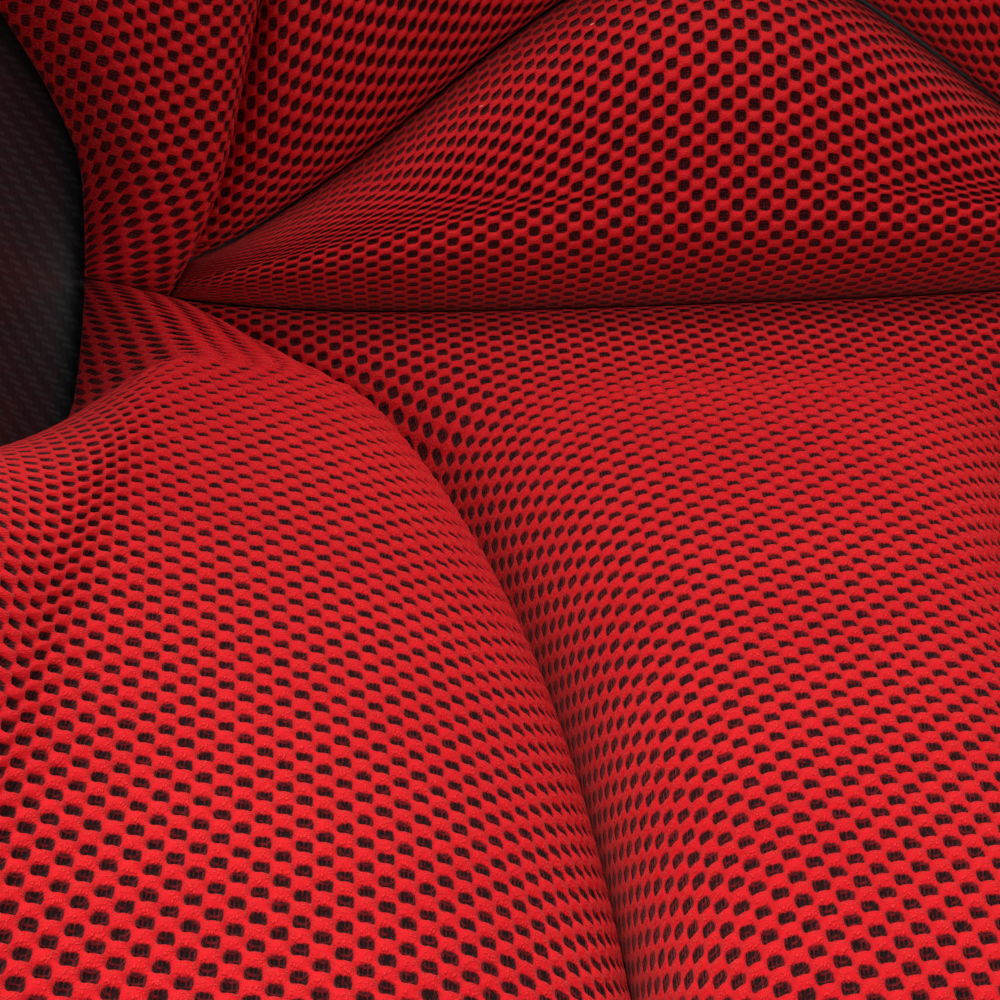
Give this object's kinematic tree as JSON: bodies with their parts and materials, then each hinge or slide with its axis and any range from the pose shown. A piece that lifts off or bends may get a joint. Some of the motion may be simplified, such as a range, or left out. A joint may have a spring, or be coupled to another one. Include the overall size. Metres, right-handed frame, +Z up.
{
  "type": "racing seat",
  "caption": "Fixed-back racing bucket seat with red spacer-mesh lobes on a moulded shell, side brackets and lockable sliding rails.",
  "frame": {"origin": "on the floor under the middle of the seat, between the two lower rails", "axes": "+X to the occupant's left as seen from the front on the right of the view, the occupant faces -Y, +Z up"},
  "size_m": [0.5684, 0.6839, 0.9084],
  "materials": {
    "red_mesh": "coarse red three-dimensional spacer mesh over foam",
    "shell_laminate": "black fibre-reinforced laminate, satin clear coat",
    "edge_rubber": "matt black rubber",
    "black_plastic": "fine-grained black moulding",
    "cage_plastic": "black moulded cage with steel balls",
    "hook_tape": "black woven hook tape",
    "black_steel": "satin black powder coat",
    "zinc_steel": "bright zinc plate",
    "spring_steel": "oiled spring wire"
  },
  "bodies": {
    "rails": {"lower_rail_left": "zinc_steel", "lower_rail_right": "zinc_steel", "latch_rack_left": "zinc_steel", "latch_rack_right": "zinc_steel"},
    "seat": {"shell": "shell_laminate", "edge_trim": "edge_rubber", "shoulder_slot_trim_left": "black_plastic", "shoulder_slot_trim_right": "black_plastic", "lap_slot_trim_left": "black_plastic", "lap_slot_trim_right": "black_plastic", "cushion_lobe_left": "red_mesh", "cushion_lobe_right": "red_mesh", "cushion_lobe_centre": "red_mesh", "lumbar_lobe": "red_mesh", "back_lobe": "red_mesh", "head_pad": "red_mesh", "back_bolster_left": "red_mesh", "back_bolster_right": "red_mesh", "shoulder_pad_left": "red_mesh", "shoulder_pad_right": "red_mesh", "cushion_hook_tape": "hook_tape", "back_hook_tape": "hook_tape", "upper_rail_left": "black_steel", "upper_rail_right": "black_steel", "side_bracket_left": "black_steel", "side_bracket_right": "black_steel", "shell_washer_front_left": "zinc_steel", "shell_washer_front_right": "zinc_steel", "shell_insert_front_left": "zinc_steel", "shell_insert_front_right": "zinc_steel", "shell_bolt_front_left": "zinc_steel", "shell_bolt_front_right": "zinc_steel", "rail_bolt_front_left": "zinc_steel", "rail_bolt_front_right": "zinc_steel", "rail_nut_front_left": "zinc_steel", "rail_nut_front_right": "zinc_steel", "shell_washer_rear_left": "zinc_steel", "shell_washer_rear_right": "zinc_steel", "shell_insert_rear_left": "zinc_steel", "shell_insert_rear_right": "zinc_steel", "shell_bolt_rear_left": "zinc_steel", "shell_bolt_rear_right": "zinc_steel", "rail_bolt_rear_left": "zinc_steel", "rail_bolt_rear_right": "zinc_steel", "rail_nut_rear_left": "zinc_steel", "rail_nut_rear_right": "zinc_steel", "pivot_tab_left": "black_steel", "pivot_tab_right": "black_steel", "pivot_pin_left": "zinc_steel", "pivot_pin_right": "zinc_steel", "pivot_screw_left": "zinc_steel", "pivot_screw_right": "zinc_steel", "return_spring_left": "spring_steel", "return_spring_right": "spring_steel"},
    "cages": {"ball_cage_left": "cage_plastic", "ball_cage_right": "cage_plastic"},
    "release": {"latch_plate_left": "black_steel", "latch_plate_right": "black_steel", "release_bar": "black_steel", "release_grip": "edge_rubber"}
  },
  "joints": [
    {"name": "seat_slide", "type": "slide", "parent": "rails", "child": "seat", "axis": [0, 1, 0], "range_m": [-0.096, 0.096]},
    {"name": "cage_slide", "type": "slide", "parent": "rails", "child": "cages", "axis": [0, 1, 0], "range_m": [-0.048, 0.048]},
    {"name": "release_lift", "type": "hinge", "parent": "seat", "child": "release", "pos_m": [0, -0.06, 0.042], "axis": [-1, 0, 0], "range_deg": [-10, 0], "stiffness_Nm_per_rad": 4, "springref_deg": -24.06}
  ],
  "couplings": [
    {"joint": "cage_slide", "follows": "seat_slide", "ratio": 0.5}
  ]
}
